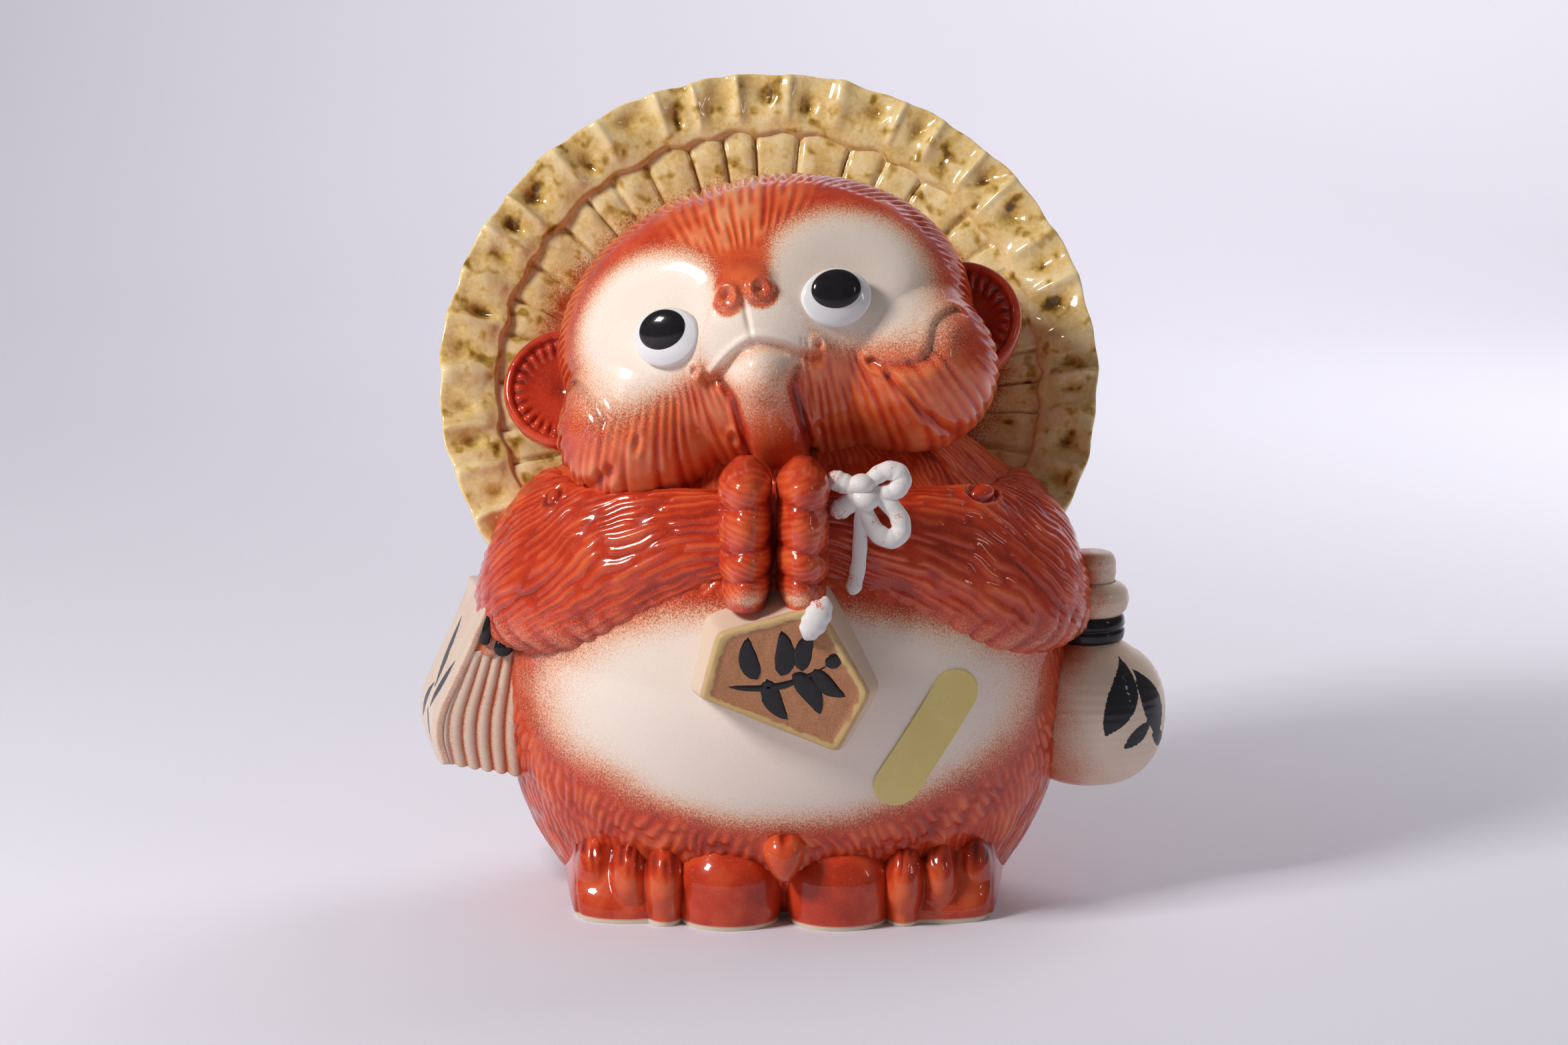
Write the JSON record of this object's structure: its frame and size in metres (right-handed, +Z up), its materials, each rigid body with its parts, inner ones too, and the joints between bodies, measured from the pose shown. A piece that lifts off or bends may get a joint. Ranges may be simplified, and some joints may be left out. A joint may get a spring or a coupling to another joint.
{
  "type": "ceramic raccoon-dog figure",
  "caption": "Glazed stoneware raccoon-dog figure, seated with joined paws under a straw hat, with flask, account book, plaque and cord bow; a standing folk ornament.",
  "frame": {"origin": "centre of the drain hole in the base slab, on the plane that the figure stands on", "axes": "+Z up, -Y the way the figure faces, +X towards the figure's own left hand"},
  "size_m": [0.243, 0.1631, 0.2554],
  "materials": {
    "red_glaze": "gloss",
    "straw_glaze": "gloss",
    "cream_glaze": "satin",
    "white_glaze": "gloss",
    "black_glaze": "gloss",
    "chalk_slip": "matte",
    "tan_slip": "matte",
    "bare_clay": "matte",
    "yellow_paper": "satin"
  },
  "bodies": {
    "root": {"body_front_shell": "red_glaze", "body_back_shell": "red_glaze", "base_slab": "bare_clay", "face_shell": "red_glaze", "head_back_shell": "red_glaze", "left_ear": "red_glaze", "right_ear": "red_glaze", "eye_whites": "white_glaze", "eye_pupils": "black_glaze", "hat_crown": "straw_glaze", "hat_rim": "straw_glaze", "left_arm": "red_glaze", "right_arm": "red_glaze", "left_paw": "red_glaze", "right_paw": "red_glaze", "plaque": "tan_slip", "plaque_cord_end": "chalk_slip", "bow_knot": "chalk_slip", "bow_loops": "chalk_slip", "bow_ends": "chalk_slip", "bow_tail": "chalk_slip", "flask_body": "cream_glaze", "flask_cord": "black_glaze", "flask_collar": "cream_glaze", "flask_stopper": "cream_glaze", "passbook_pages": "cream_glaze", "passbook_binding": "cream_glaze", "passbook_cover": "cream_glaze", "left_foot": "red_glaze", "right_foot": "red_glaze", "left_money_bag": "red_glaze", "right_money_bag": "red_glaze", "money_bag_knot": "red_glaze", "tail": "red_glaze", "sticker": "yellow_paper"}
  },
  "joints": []
}
